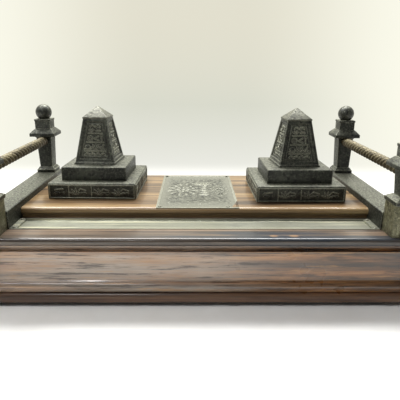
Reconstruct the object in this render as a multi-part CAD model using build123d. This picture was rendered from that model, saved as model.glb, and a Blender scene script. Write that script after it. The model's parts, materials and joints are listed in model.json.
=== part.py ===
from build123d import *
import os
from math import sqrt

os.makedirs("parts", exist_ok=True)

# Egyptian-revival desk stand: bronze fittings on a moulded wooden base.
# Millimetres, X to the right, Y to the back, Z up, origin at the middle of the base on the table.

# wooden base
BASE_X = 369.0
BASE_Y = 188.0
FOOT_H = 4.0
FOOT_R = 9.0
FOOT_EDGE = 0.8
FOOT_SCREW_SINK = 0.6
FOOT_SCREW_GRIP = 6.0
FOOT_INSET = 36.0
PLINTH_H = 7.1
PLINTH_D = 30.0
PLINTH_SETBACK = 2.6
PLINTH_FACE_H = 4.4
PLINTH_EASE = 2.7
MITRE_SPARE = 6.0
RAIL_H = 39.3
RAIL_T = 20.0
RAIL_SETBACK = 6.0
TORUS_R = 4.0
TORUS_OUT = 3.8
TORUS_FOOT = 0.2
TORUS_HEAD = 0.8
TORUS_LOW = 1.0
TORUS_STEP = 0.8
COVE_H = 5.6
COVE_D = 3.2
COVE_LIP = 0.6
BOARD_T = 6.4
BOARD_CORNER_R = 1.5
BOARD_NOSE_R = 2.7
BOTTOM_T = 4.0
BLOCK_S = 18.0

# raised deck
DECK_STEP = 8.8
DECK_FRONT = -47.0
DECK_BACK = 67.5
DECK_NOSE_R = 2.8
DECK_REBATE_H = 2.8
DECK_REBATE_D = 2.6

# bronze pen tray and plaque
TRAY_GAP = 1.8
TRAY_D = 24.5
TRAY_T = 2.4
TRAY_PROUD = 0.4
TRAY_DISH_DEPTH = 1.5
TRAY_DISH_R = 1.2
TRAY_DISH_END = 5.0
TRAY_RIM = 1.8
PLAQUE_W = 69.0
PLAQUE_AT = 1.6
PLAQUE_T = 1.2
PLAQUE_INSET = 1.0
PLAQUE_BORDER = 3.0
PLAQUE_CLIP_X = 6.5
PLAQUE_CLIP_Y = 21.0
PIN_R = 0.9
PIN_HEAD_R = 1.5
PIN_HEAD_H = 0.7
PIN_HEAD_ROUND = 0.42
PIN_LEN = 6.0
TRAY_PIN_INSET = 2.5
TRAY_PIN_EDGE = 3.1

# side galleries
BAR_W = 21.0
BAR_H = 14.6
BAR_L = 147.0
BAR_WALL = 3.0
BAR_MARGIN = 20.5
BAR_EDGE = 0.8
BAR_BOSS_R = 3.9
BAR_SCREW_DEPTH = 8.8
POST_PLATE = 17.8
POST_PLATE_H = 5.4
POST_PLATE_EDGE_H = 3.0
POST_PLATE_EASE = 0.8
POST_MOULD = 1.6
POST_FOOT = 12.4
POST_HEAD = 14.6
CAP_Z = 41.0
BED_MOULD_H = 1.8
BED_MOULD = 18.0
CAP_SLAB = 24.6
CAP_SLAB_H = 3.0
CAP_SLOPE_H = 4.4
CAP_BLOCK = 14.9
CAP_BLOCK_H = 7.5
CAP_BLOCK_LIP = 1.2
COLLAR = 16.0
COLLAR_H = 2.0
COLLAR_EDGE = 0.6
BALL_R = 7.8
BALL_SINK = 1.4
STUD_R = 2.0
STUD_GRIP = 6.0
TENON_R = 3.0
TENON_H = 5.0
REAR_POST_Y = 64.3
FRONT_POST_Y = -85.0
PEDESTAL_W = 19.0
PEDESTAL_H = 11.0
PEDESTAL_L = 17.5
PEDESTAL_R = 3.0
PEDESTAL_STEM_Z = 7.3
FRONT_PLATE = 22.0
ROD_R = 4.5
ROD_DROP = 2.8
ROD_TENON_R = 2.2
ROD_TENON_L = 4.0
LEAF_W = 17.0
LEAF_T = 2.6
LEAF_OVERHANG = 1.3
LEAF_ROOT = 0.7
LEAF_SHOULDER_X = 0.62
LEAF_SHOULDER_Y = 0.72

# inkwells
WELL_X_LEFT = -89.0
WELL_X_RIGHT = 90.3
WELL_Y_LEFT = 16.6
WELL_Y_RIGHT = 8.0
WELL_TURN_LEFT = -1.6
WELL_TURN_RIGHT = 0.6
STEP_W = 76.2
STEP_H = 14.1
STEP_WALL = 3.4
STEP_EDGE = 0.8
CUP_WALL = 3.0
CUP_FLOOR = 2.6
POT_R = 18.5
POT_H = 20.0
POT_WALL = 3.2
POT_MOUTH_R = 12.0
POT_CLEAR = 0.5
POT_ROUND = 1.2
LID_W = 56.9
LID_H = 12.2
LID_WALL = 3.0
OBELISK_FOOT = 38.0
OBELISK_TOP = 21.5
OBELISK_H = 40.0
OBELISK_WALL = 3.0
OBELISK_MOULD_H = 2.0
OBELISK_MOULD_EASE = 1.6
OBELISK_SHAFT = 35.6
OBELISK_BRIDGE_H = 6.0
OBELISK_BRIDGE_W = 9.0
OBELISK_TURN_LEFT = -2.8
OBELISK_TURN_RIGHT = 4.6
SPIGOT_R = 3.0
SPIGOT_H = 2.4
PYRAMID_H = 10.4
PYRAMID_BAND = 1.2
PYRAMID_LAP = 0.8
PYRAMID_TIP = 0.8
HINGE_R = 2.5
HINGE_PIN_R = 0.9
HINGE_RUN = 0.04
HINGE_BACK = 2.9
HINGE_LIFT = 2.8
KNUCKLE_L = 12.0
KNUCKLE_SIDE_L = 8.0
KNUCKLE_PLAY = 0.3
KNUCKLE_SEAT = 4.0
ARM_GAP = 1.0

# screws
BOLT_R = 2.0
BOLT_HEAD_R = 4.0
BOLT_HEAD_H = 1.6
NUT_AF = 7.0
NUT_H = 3.0
BOLT_END = 2.0
SCREW_R = 1.5
SCREW_HEAD_R = 2.8
SCREW_HEAD_H = 1.4
HOLE_CLEAR = 0.3

# levels and places worked out from the sizes above
plinthZ = FOOT_H
railZ = plinthZ + PLINTH_H
boardZ = railZ + RAIL_H
ledgeZ = boardZ + BOARD_T
deckZ = ledgeZ + DECK_STEP
barZ = ledgeZ + BAR_H
barX = BASE_X / 2 - BAR_MARGIN - BAR_W / 2
deckX = 2 * barX - BAR_W
deckMidY = (DECK_FRONT + DECK_BACK) / 2
trayBack = DECK_FRONT - TRAY_GAP
trayMidY = trayBack - TRAY_D / 2
trayZ = ledgeZ + TRAY_PROUD
capZ = deckZ + CAP_Z
cupFloorZ = deckZ + CUP_FLOOR
stepZ = deckZ + STEP_H
lidZ = stepZ + LID_H
shaftTopZ = lidZ + OBELISK_H
cupR = POT_R + POT_CLEAR
hingeY = LID_W / 2 + HINGE_BACK
hingeZ = stepZ + HINGE_LIFT
rodZ = capZ - ROD_DROP
barEnd = -BAR_L / 2
stemZ = ledgeZ + PEDESTAL_STEM_Z

MIN = Align.MIN
MID = Align.CENTER
MAX = Align.MAX
UP = (MID, MID, MIN)


def save(shape, name):
    export_step(shape, f"parts/{name}.step")


def rise(z):
    return Pos(0, 0, z)


def block(x, y, z, low):
    return rise(low) * Box(x, y, z, align=UP)


def rod(radius, height, low):
    return rise(low) * Cylinder(radius, height, align=UP)


def square_loft(low, width_low, high, width_high):
    foot = Plane.XY.offset(low) * Rectangle(width_low, width_low)
    head = Plane.XY.offset(high) * Rectangle(width_high, width_high)
    return loft([foot.face(), head.face()])


def at_corners(dx, dy):
    return [(sx * dx, sy * dy) for sx in (-1, 1) for sy in (-1, 1)]


# --- wooden base -----------------------------------------------------------------------------

def top_board():
    board = block(BASE_X, BASE_Y, BOARD_T, boardZ)
    board = fillet(board.edges().filter_by(Axis.Z), BOARD_CORNER_R)
    outline = board.faces().sort_by(Axis.Z)[-1].edges() + board.faces().sort_by(Axis.Z)[0].edges()
    board = fillet(outline, BOARD_NOSE_R)
    board -= Pos(0, trayMidY, ledgeZ) * Box(deckX, TRAY_D, TRAY_T - TRAY_PROUD, align=(MID, MID, MAX))
    for x, y in well_places():
        board -= Pos(x, y, boardZ) * Cylinder(BOLT_R + HOLE_CLEAR, BOARD_T, align=UP)
    for x, y in bar_screw_places():
        board -= Pos(x, y, boardZ) * Cylinder(SCREW_R + HOLE_CLEAR, BOARD_T, align=UP)
    return board


def outline_face(edges):
    return make_face(Curve() + edges)


def rail_section():
    """Section across a rail: x outwards from its inner face, y up."""
    torus_mid = TORUS_LOW + TORUS_R
    torus_high = TORUS_LOW + 2 * TORUS_R
    cove_low = RAIL_H - COVE_LIP - COVE_H
    lower_x = RAIL_T + TORUS_FOOT
    upper_x = RAIL_T + TORUS_HEAD
    return outline_face([
        Line((0, 0), (lower_x, 0)),
        Line((lower_x, 0), (lower_x, TORUS_LOW)),
        ThreePointArc((lower_x, TORUS_LOW), (RAIL_T + TORUS_OUT, torus_mid), (upper_x, torus_high)),
        Line((upper_x, torus_high), (RAIL_T, torus_high + TORUS_STEP)),
        Line((RAIL_T, torus_high + TORUS_STEP), (RAIL_T, cove_low)),
        ThreePointArc((RAIL_T, cove_low), (RAIL_T - COVE_D, cove_low + COVE_H / 2), (RAIL_T, cove_low + COVE_H)),
        Line((RAIL_T, cove_low + COVE_H), (RAIL_T, RAIL_H)),
        Line((RAIL_T, RAIL_H), (0, RAIL_H)),
        Line((0, RAIL_H), (0, 0)),
    ])


def plinth_section():
    """Section across a plinth strip: x outwards from its inner face, y up."""
    shoulder = PLINTH_D - PLINTH_EASE
    bend_x = PLINTH_D - PLINTH_EASE / 3
    bend_y = PLINTH_FACE_H + (PLINTH_H - PLINTH_FACE_H) * 0.64
    return outline_face([
        Line((0, 0), (PLINTH_D, 0)),
        Line((PLINTH_D, 0), (PLINTH_D, PLINTH_FACE_H)),
        ThreePointArc((PLINTH_D, PLINTH_FACE_H), (bend_x, bend_y), (shoulder, PLINTH_H)),
        Line((shoulder, PLINTH_H), (0, PLINTH_H)),
        Line((0, PLINTH_H), (0, 0)),
    ])


def mitred_strip(section, depth, length, outer, low, over):
    """Strip along X with its outer side at -Y, mitred at both ends at 45 degrees."""
    plane = Plane(origin=(length / 2 + over, -outer + depth, low), x_dir=(0, -1, 0), z_dir=(-1, 0, 0))
    strip = extrude(plane * section, amount=length + 2 * over, dir=(-1, 0, 0))
    reach = length / 2
    for side in (-1, 1):
        mitre = Plane(origin=(side * reach, -outer, low), z_dir=(-side, -1, 0))
        strip = split(strip, bisect_by=mitre, keep=Keep.TOP)
    return strip


def base_frame(section, depth, setback, low, over):
    """Front, back, left and right strips of one mitred frame."""
    half_x = BASE_X / 2 - setback
    half_y = BASE_Y / 2 - setback
    front = mitred_strip(section, depth, 2 * half_x, half_y, low, over)
    side = mitred_strip(section, depth, 2 * half_y, half_x, low, over)
    return {
        "front": front,
        "back": Rot(0, 0, 180) * front,
        "left": Rot(0, 0, -90) * side,
        "right": Rot(0, 0, 90) * side,
    }


def bottom_board():
    inner_x = BASE_X - 2 * (RAIL_SETBACK + RAIL_T)
    inner_y = BASE_Y - 2 * (RAIL_SETBACK + RAIL_T)
    return block(inner_x, inner_y, BOTTOM_T, railZ)


def corner_blocks():
    reach_x = BASE_X / 2 - RAIL_SETBACK - RAIL_T - BLOCK_S / 2
    reach_y = BASE_Y / 2 - RAIL_SETBACK - RAIL_T - BLOCK_S / 2
    height = RAIL_H - BOTTOM_T
    return [Pos(x, y, railZ + BOTTOM_T) * Box(BLOCK_S, BLOCK_S, height, align=UP)
            for x, y in at_corners(reach_x, reach_y)]


def foot_places():
    return at_corners(BASE_X / 2 - FOOT_INSET, BASE_Y / 2 - PLINTH_SETBACK - PLINTH_D / 2)


def foot():
    pad = Cylinder(FOOT_R, FOOT_H, align=UP)
    pad = chamfer(pad.edges().sort_by(Axis.Z)[0], FOOT_EDGE)
    pad -= rod(SCREW_R, FOOT_H, 0)
    return pad - rod(SCREW_HEAD_R, FOOT_SCREW_SINK + SCREW_HEAD_H, 0)


def foot_screw():
    head = rod(SCREW_HEAD_R, SCREW_HEAD_H, FOOT_SCREW_SINK)
    return head + rod(SCREW_R, FOOT_H - FOOT_SCREW_SINK + FOOT_SCREW_GRIP, FOOT_SCREW_SINK)


def deck_board():
    depth = DECK_BACK - DECK_FRONT
    nosing = DECK_STEP - DECK_REBATE_H
    deck = Pos(0, deckMidY, deckZ) * Box(deckX, depth, nosing, align=(MID, MID, MAX))
    nose = deck.faces().sort_by(Axis.Y)[0].edges().filter_by(Axis.X)
    deck = fillet(nose, DECK_NOSE_R)
    under = Box(deckX, depth - DECK_REBATE_D, DECK_REBATE_H, align=(MID, MAX, MIN))
    deck += Pos(0, DECK_BACK, ledgeZ) * under
    for x, y in well_places():
        deck -= Pos(x, y, ledgeZ) * Cylinder(BOLT_R + HOLE_CLEAR, DECK_STEP, align=UP)
    deck -= plaque_plate()
    for x, y in plaque_pin_places():
        deck -= Pos(x, y, deckZ - PLAQUE_T) * Cylinder(PIN_R, PIN_LEN - PLAQUE_T, align=(MID, MID, MAX))
    return deck


# --- tray and plaque -------------------------------------------------------------------------

def tray_pin_places():
    reach = deckX / 2 - TRAY_PIN_INSET
    edge = TRAY_D / 2 - TRAY_PIN_EDGE
    return [(x, trayMidY + sy * edge) for x in (-reach, reach) for sy in (-1, 1)]


def pen_tray():
    tray = Pos(0, trayMidY, trayZ) * Box(deckX, TRAY_D, TRAY_T, align=(MID, MID, MAX))
    dish = Box(deckX - 2 * TRAY_DISH_END, TRAY_D - 2 * TRAY_RIM, TRAY_DISH_DEPTH, align=(MID, MID, MAX))
    dish = fillet(dish.faces().sort_by(Axis.Z)[0].edges().filter_by(Axis.X), TRAY_DISH_R)
    tray -= Pos(0, trayMidY, trayZ) * dish
    for x, y in tray_pin_places():
        tray -= Pos(x, y, trayZ) * Cylinder(PIN_R, TRAY_T, align=(MID, MID, MAX))
    return tray


def plaque_pin_places():
    edge_y = (DECK_BACK - DECK_FRONT) / 2 - PLAQUE_INSET - PLAQUE_BORDER
    edge_x = PLAQUE_W / 2 - PLAQUE_BORDER
    corners = [(-edge_x, -edge_y), (edge_x - PLAQUE_CLIP_X, -edge_y), (-edge_x, edge_y), (edge_x, edge_y)]
    return [(PLAQUE_AT + x, deckMidY + y) for x, y in corners]


def plaque_plate():
    """The plaque's outline at its full thickness: a rectangle whose front right corner is clipped."""
    half_x = PLAQUE_W / 2
    half_y = (DECK_BACK - DECK_FRONT) / 2 - PLAQUE_INSET
    outline = outline_face([
        Line((-half_x, -half_y), (half_x - PLAQUE_CLIP_X, -half_y)),
        Line((half_x - PLAQUE_CLIP_X, -half_y), (half_x, -half_y + PLAQUE_CLIP_Y)),
        Line((half_x, -half_y + PLAQUE_CLIP_Y), (half_x, half_y)),
        Line((half_x, half_y), (-half_x, half_y)),
        Line((-half_x, half_y), (-half_x, -half_y)),
    ])
    plate = extrude(outline, amount=PLAQUE_T, dir=(0, 0, 1))
    return Pos(PLAQUE_AT, deckMidY, deckZ - PLAQUE_T) * plate


def centre_plaque():
    plate = plaque_plate()
    for x, y in plaque_pin_places():
        plate -= Pos(x, y, deckZ - PLAQUE_T) * Cylinder(PIN_R, PLAQUE_T, align=UP)
    return plate


def pins(places, seat, grip):
    """Round-headed pins: the head stands on the plate at height seat, the shank goes down by grip."""
    shape = Cylinder(PIN_HEAD_R, PIN_HEAD_H, align=UP)
    shape = fillet(shape.edges().sort_by(Axis.Z)[-1], PIN_HEAD_ROUND)
    shape += Cylinder(PIN_R, grip, align=(MID, MID, MAX))
    return [Pos(x, y, seat) * shape for x, y in places]


# --- galleries -------------------------------------------------------------------------------

def bar_screw_places():
    return [(side * barX, y) for side in (-1, 1) for y in (-BAR_L / 4, BAR_L / 4)]


def gallery_bar(side):
    bar = block(BAR_W, BAR_L, BAR_H, ledgeZ)
    top = bar.faces().sort_by(Axis.Z)[-1]
    bar = chamfer(top.edges(), BAR_EDGE)
    hollow = block(BAR_W - 2 * BAR_WALL, BAR_L - 2 * BAR_WALL, BAR_H - BAR_WALL, ledgeZ)
    bar -= hollow
    for y in (-BAR_L / 4, BAR_L / 4):
        bar += Pos(0, y, ledgeZ) * Cylinder(BAR_BOSS_R, BAR_H - BAR_WALL, align=UP)
        bar -= Pos(0, y, ledgeZ) * Cylinder(SCREW_R, BAR_SCREW_DEPTH, align=UP)
    bar += Pos(0, REAR_POST_Y, barZ) * Box(BAR_W - 2 * BAR_WALL, 3 * TENON_R, TENON_H + 1, align=(MID, MID, MAX))
    bar -= Pos(0, REAR_POST_Y, barZ) * Cylinder(TENON_R, TENON_H, align=(MID, MID, MAX))
    bar += Pos(0, barEnd, ledgeZ) * Box(BAR_W - 2 * BAR_WALL, TENON_H + 1, BAR_H - BAR_WALL, align=(MID, MIN, MIN))
    bar -= stem()
    return Pos(side * barX, 0, 0) * bar


def bar_screws():
    low = boardZ
    shape = rod(SCREW_R, BAR_SCREW_DEPTH + BOARD_T, low)
    shape += rod(SCREW_HEAD_R, SCREW_HEAD_H, low - SCREW_HEAD_H)
    return [Pos(x, y, 0) * shape for x, y in bar_screw_places()]


def post_body(low, plate, foot_width):
    """Foot plate, tapered square shaft and top tenon hole; the post's middle is at x = y = 0."""
    shaft_low = low + POST_PLATE_H
    body = block(plate, plate, POST_PLATE_EDGE_H, low)
    body += square_loft(low + POST_PLATE_EDGE_H, plate - POST_PLATE_EASE, shaft_low, foot_width + POST_MOULD)
    body += square_loft(shaft_low, foot_width, capZ, POST_HEAD)
    body -= rod(STUD_R, STUD_GRIP, capZ - STUD_GRIP)
    body += rod(TENON_R, TENON_H, low - TENON_H)
    return body


def rod_socket(face_y):
    """Round hole for the twisted rail's tenon, centred on the post's face."""
    hole = Cylinder(ROD_TENON_R, ROD_TENON_L * 2)
    return Pos(0, face_y, rodZ) * Rot(90, 0, 0) * hole


def post_face_at_rod(low):
    """Half width of the shaft at the top of the twisted rail."""
    shaft_low = low + POST_PLATE_H
    share = (rodZ + ROD_R - shaft_low) / (capZ - shaft_low)
    return (POST_FOOT + (POST_HEAD - POST_FOOT) * share) / 2


def rear_post(side):
    body = post_body(barZ, POST_PLATE, POST_FOOT)
    body -= rod_socket(-post_face_at_rod(barZ))
    return Pos(side * barX, REAR_POST_Y, 0) * body


def front_post(side):
    body = post_body(barZ + PEDESTAL_H, FRONT_PLATE, POST_FOOT)
    body -= rod_socket(post_face_at_rod(barZ + PEDESTAL_H))
    return Pos(side * barX, FRONT_POST_Y, 0) * body


def post_cap():
    """Bed mould, flared slab and square block of one post, with the finial's hole."""
    low = capZ
    body = square_loft(low, POST_HEAD, low + BED_MOULD_H, BED_MOULD)
    low += BED_MOULD_H
    body += block(CAP_SLAB, CAP_SLAB, CAP_SLAB_H, low)
    low += CAP_SLAB_H
    body += square_loft(low, CAP_SLAB, low + CAP_SLOPE_H, CAP_BLOCK + CAP_BLOCK_LIP)
    low += CAP_SLOPE_H
    body += block(CAP_BLOCK, CAP_BLOCK, CAP_BLOCK_H, low)
    return body - rod(STUD_R, low + CAP_BLOCK_H - capZ, capZ)


def cap_top():
    return capZ + BED_MOULD_H + CAP_SLAB_H + CAP_SLOPE_H + CAP_BLOCK_H


def finial():
    """Square collar and ball with a stud that reaches down into the post."""
    low = cap_top()
    body = block(COLLAR, COLLAR, COLLAR_H, low)
    body = chamfer(body.edges().filter_by(Axis.Z), COLLAR_EDGE)
    body += Pos(0, 0, low + COLLAR_H + BALL_R - BALL_SINK) * Sphere(BALL_R)
    body -= block(COLLAR * 2, COLLAR * 2, BALL_R, low - BALL_R)
    return body + rod(STUD_R, low - capZ + STUD_GRIP, capZ - STUD_GRIP)


def twist_rail(side):
    """Rope-twisted rail between the two posts of one gallery."""
    back = REAR_POST_Y - post_face_at_rod(barZ)
    front = FRONT_POST_Y + post_face_at_rod(barZ + PEDESTAL_H)
    length = back - front
    body = Cylinder(ROD_R, length)
    body += Cylinder(ROD_TENON_R, length + 2 * ROD_TENON_L)
    return Pos(side * barX, (front + back) / 2, rodZ) * Rot(90, 0, 0) * body


def stem():
    """Round tenon that joins the front pedestal to the end of its bar."""
    return Pos(0, barEnd + TENON_H / 2, stemZ) * Rot(90, 0, 0) * Cylinder(TENON_R, TENON_H)


def front_pedestal(side):
    """Block on the ledge in front of the bar's end; it carries the front post."""
    body = Pos(0, barEnd, ledgeZ) * Box(PEDESTAL_W, PEDESTAL_L, BAR_H + PEDESTAL_H, align=(MID, MAX, MIN))
    body = fillet(body.faces().sort_by(Axis.Y)[0].edges().filter_by(Axis.Z), PEDESTAL_R)
    body -= Pos(0, FRONT_POST_Y, barZ + PEDESTAL_H) * Cylinder(TENON_R, TENON_H, align=(MID, MID, MAX))
    body += stem()
    return Pos(side * barX, 0, 0) * body


def corner_leaf(side):
    """Leaf that lies on the wooden ledge and hooks over the base's front edge."""
    root = barEnd - PEDESTAL_L
    tip = -BASE_Y / 2 - LEAF_OVERHANG
    widest = (root + tip) / 2
    half = LEAF_W / 2
    neck = half * LEAF_ROOT
    bend_x = half * LEAF_SHOULDER_X
    bend_y = widest + (tip - widest) * LEAF_SHOULDER_Y
    outline = outline_face([
        Line((-neck, root), (neck, root)),
        Line((neck, root), (half, widest)),
        ThreePointArc((half, widest), (bend_x, bend_y), (0, tip)),
        ThreePointArc((0, tip), (-bend_x, bend_y), (-half, widest)),
        Line((-half, widest), (-neck, root)),
    ])
    body = extrude(Plane.XY.offset(ledgeZ) * outline, amount=LEAF_T, dir=(0, 0, 1))
    return Pos(side * barX, 0, 0) * body


# --- inkwells --------------------------------------------------------------------------------

def well_places():
    return [(WELL_X_LEFT, WELL_Y_LEFT), (WELL_X_RIGHT, WELL_Y_RIGHT)]


def well_frame(side):
    """Place and turn of one whole inkwell on the deck."""
    x, y = well_places()[0 if side < 0 else 1]
    turn = WELL_TURN_LEFT if side < 0 else WELL_TURN_RIGHT
    return Pos(x, y, 0) * Rot(0, 0, turn)


def obelisk_frame(side):
    turn = OBELISK_TURN_LEFT if side < 0 else OBELISK_TURN_RIGHT
    return well_frame(side) * Rot(0, 0, turn)


def along_x(radius, length, x):
    return Pos(x, hingeY, hingeZ) * Rot(0, 90, 0) * Cylinder(radius, length)


def side_knuckle_x():
    return KNUCKLE_L / 2 + KNUCKLE_PLAY + KNUCKLE_SIDE_L / 2


def well_base():
    """Lower step: a shell open below, with a round cup for the ink pot and two hinge knuckles."""
    body = block(STEP_W, STEP_W, STEP_H, deckZ)
    body = chamfer(body.faces().sort_by(Axis.Z)[-1].edges(), STEP_EDGE)
    inner = STEP_W - 2 * STEP_WALL
    shell = block(inner, inner, STEP_H - STEP_WALL, deckZ) - rod(cupR + CUP_WALL, STEP_H, deckZ)
    body -= shell
    body -= rod(cupR, STEP_H, cupFloorZ)
    body -= rod(BOLT_R + HOLE_CLEAR, CUP_FLOOR, deckZ)
    body -= rod(BOLT_HEAD_R + HOLE_CLEAR, BOLT_HEAD_H, cupFloorZ - BOLT_HEAD_H)
    for sx in (-1, 1):
        x = sx * side_knuckle_x()
        body += along_x(HINGE_R, KNUCKLE_SIDE_L, x)
        body += Pos(x, hingeY, stepZ) * Box(KNUCKLE_SIDE_L, KNUCKLE_SEAT, HINGE_LIFT, align=UP)
        body -= along_x(HINGE_PIN_R, KNUCKLE_SIDE_L, x)
    return body


def ink_pot():
    body = rod(POT_R, POT_H, cupFloorZ)
    body = fillet(body.edges(), POT_ROUND)
    body -= rod(POT_R - POT_WALL, POT_H - 2 * POT_WALL, cupFloorZ + POT_WALL)
    return body - rod(POT_MOUTH_R, POT_WALL, cupFloorZ + POT_H - POT_WALL)


def lid():
    """Middle step: a shell open below, with its hinge knuckle behind and the obelisk's screw hole."""
    body = block(LID_W, LID_W, LID_H, stepZ)
    body = chamfer(body.faces().sort_by(Axis.Z)[-1].edges(), STEP_EDGE)
    inner = LID_W - 2 * LID_WALL
    body -= block(inner, inner, LID_H - LID_WALL, stepZ)
    arm = Box(KNUCKLE_L, HINGE_BACK + LID_WALL / 2, HINGE_R + HINGE_LIFT - ARM_GAP, align=(MID, MIN, MIN))
    body += Pos(0, (LID_W - LID_WALL) / 2, stepZ + ARM_GAP) * arm
    body += along_x(HINGE_R, KNUCKLE_L, 0)
    body -= along_x(HINGE_PIN_R + HINGE_RUN, KNUCKLE_L, 0)
    return body - rod(SCREW_R + HOLE_CLEAR, LID_WALL, lidZ - LID_WALL)


def hinge_pin():
    length = KNUCKLE_L + 2 * (KNUCKLE_PLAY + KNUCKLE_SIDE_L)
    return along_x(HINGE_PIN_R, length, 0)


def obelisk():
    """Tapered square shaft on a small foot moulding, hollow, with a bridge for its one screw."""
    wall = OBELISK_WALL
    mould_top = lidZ + OBELISK_MOULD_H
    body = square_loft(lidZ, OBELISK_FOOT, mould_top, OBELISK_FOOT - OBELISK_MOULD_EASE)
    body += square_loft(mould_top, OBELISK_SHAFT, shaftTopZ, OBELISK_TOP)
    body -= square_loft(lidZ, OBELISK_SHAFT - 2 * wall, shaftTopZ - wall, OBELISK_TOP - 2 * wall)
    body += block(OBELISK_SHAFT - wall, OBELISK_BRIDGE_W, OBELISK_BRIDGE_H, lidZ)
    body -= rod(SCREW_R, OBELISK_BRIDGE_H, lidZ)
    return body - rod(SPIGOT_R, wall, shaftTopZ - wall)


def pyramidion():
    foot = OBELISK_TOP + PYRAMID_LAP
    body = block(foot, foot, PYRAMID_BAND, shaftTopZ)
    body += square_loft(shaftTopZ + PYRAMID_BAND, foot, shaftTopZ + PYRAMID_H, PYRAMID_TIP)
    return body + rod(SPIGOT_R, SPIGOT_H, shaftTopZ - SPIGOT_H)


def obelisk_screw():
    low = lidZ - LID_WALL
    return rod(SCREW_R, LID_WALL + OBELISK_BRIDGE_H - 1, low) + rod(SCREW_HEAD_R, SCREW_HEAD_H, low - SCREW_HEAD_H)


def well_bolts():
    low = boardZ - NUT_H - BOLT_END
    shape = rod(BOLT_R, cupFloorZ - BOLT_HEAD_H - low, low)
    shape += rod(BOLT_HEAD_R, BOLT_HEAD_H, cupFloorZ - BOLT_HEAD_H)
    return [Pos(x, y, 0) * shape for x, y in well_places()]


def well_nuts():
    nut = Pos(0, 0, boardZ - NUT_H) * extrude(RegularPolygon(NUT_AF / sqrt(3), 6), amount=NUT_H)
    nut -= rod(BOLT_R, NUT_H, boardZ - NUT_H)
    return [Pos(x, y, 0) * nut for x, y in well_places()]


def group(solids):
    return Compound(children=list(solids))


# --- build -----------------------------------------------------------------------------------

save(top_board(), "top_board")
for where, strip in base_frame(rail_section(), RAIL_T, RAIL_SETBACK, railZ, MITRE_SPARE).items():
    save(strip, f"{where}_rail")
for where, strip in base_frame(plinth_section(), PLINTH_D, PLINTH_SETBACK, plinthZ, 0.0).items():
    for x, y in foot_places():
        strip -= Pos(x, y, plinthZ) * Cylinder(SCREW_R, FOOT_SCREW_GRIP, align=UP)
    save(strip, f"{where}_plinth")
save(bottom_board(), "bottom_board")
save(group(corner_blocks()), "corner_blocks")
save(group(Pos(x, y, 0) * foot() for x, y in foot_places()), "feet")
save(group(Pos(x, y, 0) * foot_screw() for x, y in foot_places()), "foot_screws")
save(deck_board(), "deck_board")
save(pen_tray(), "pen_tray")
save(group(pins(tray_pin_places(), trayZ, TRAY_T)), "tray_pins")
save(centre_plaque(), "centre_plaque")
save(group(pins(plaque_pin_places(), deckZ, PIN_LEN)), "plaque_pins")
save(group(bar_screws()), "bar_screws")
save(group(well_bolts()), "well_bolts")
save(group(well_nuts()), "well_nuts")
for side, word in ((-1, "left"), (1, "right")):
    save(gallery_bar(side), f"gallery_bar_{word}")
    save(rear_post(side), f"rear_post_{word}")
    save(front_post(side), f"front_post_{word}")
    save(twist_rail(side), f"twist_rail_{word}")
    save(front_pedestal(side), f"front_pedestal_{word}")
    save(corner_leaf(side), f"corner_leaf_{word}")
    for post_y, where in ((REAR_POST_Y, "rear"), (FRONT_POST_Y, "front")):
        place = Pos(side * barX, post_y, 0)
        save(place * post_cap(), f"{where}_cap_{word}")
        save(place * finial(), f"{where}_finial_{word}")
    save(well_frame(side) * well_base(), f"well_base_{word}")
    save(well_frame(side) * ink_pot(), f"ink_pot_{word}")
    save(well_frame(side) * lid(), f"lid_{word}")
    save(well_frame(side) * hinge_pin(), f"hinge_pin_{word}")
    save(obelisk_frame(side) * obelisk(), f"obelisk_{word}")
    save(obelisk_frame(side) * pyramidion(), f"pyramidion_{word}")
    save(obelisk_frame(side) * obelisk_screw(), f"obelisk_screw_{word}")
print("hinge centre above the table", round(hingeZ, 3), "behind the lid's middle", round(hingeY, 3))
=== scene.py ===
import json
import math
import random

import bpy
from mathutils import Matrix, Vector

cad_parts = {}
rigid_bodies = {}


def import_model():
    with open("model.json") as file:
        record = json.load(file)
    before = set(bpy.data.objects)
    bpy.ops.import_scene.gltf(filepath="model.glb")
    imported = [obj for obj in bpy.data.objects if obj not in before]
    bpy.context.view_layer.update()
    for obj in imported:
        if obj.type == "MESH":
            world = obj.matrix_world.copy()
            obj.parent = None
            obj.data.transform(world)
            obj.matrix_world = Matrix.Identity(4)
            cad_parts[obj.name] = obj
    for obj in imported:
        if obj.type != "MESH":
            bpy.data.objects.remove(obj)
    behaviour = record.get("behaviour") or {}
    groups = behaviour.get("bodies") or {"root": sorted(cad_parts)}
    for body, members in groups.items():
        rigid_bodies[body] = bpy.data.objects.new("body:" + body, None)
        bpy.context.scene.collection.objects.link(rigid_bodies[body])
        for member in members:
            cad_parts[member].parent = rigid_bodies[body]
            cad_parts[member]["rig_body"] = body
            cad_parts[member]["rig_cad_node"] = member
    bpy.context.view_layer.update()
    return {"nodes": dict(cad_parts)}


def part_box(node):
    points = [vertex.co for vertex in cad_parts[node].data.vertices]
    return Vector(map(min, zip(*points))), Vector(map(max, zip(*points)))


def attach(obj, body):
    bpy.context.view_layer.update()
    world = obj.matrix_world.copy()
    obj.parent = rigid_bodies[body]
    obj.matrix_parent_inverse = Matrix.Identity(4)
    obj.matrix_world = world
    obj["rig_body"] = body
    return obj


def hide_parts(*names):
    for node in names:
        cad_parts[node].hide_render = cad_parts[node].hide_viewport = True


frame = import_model()
cadNodes = frame["nodes"]
random.seed(7)
mm = 0.001
fullTurn = 2 * math.pi
print("frame loaded:", len(cadNodes), "nodes")


# selecting and editing

def clearSelection():
    if bpy.context.object and bpy.context.object.mode != "OBJECT":
        bpy.ops.object.mode_set(mode="OBJECT")
    bpy.ops.object.select_all(action="DESELECT")


def makeActive(piece):
    clearSelection()
    piece.select_set(True)
    bpy.context.view_layer.objects.active = piece


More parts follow.
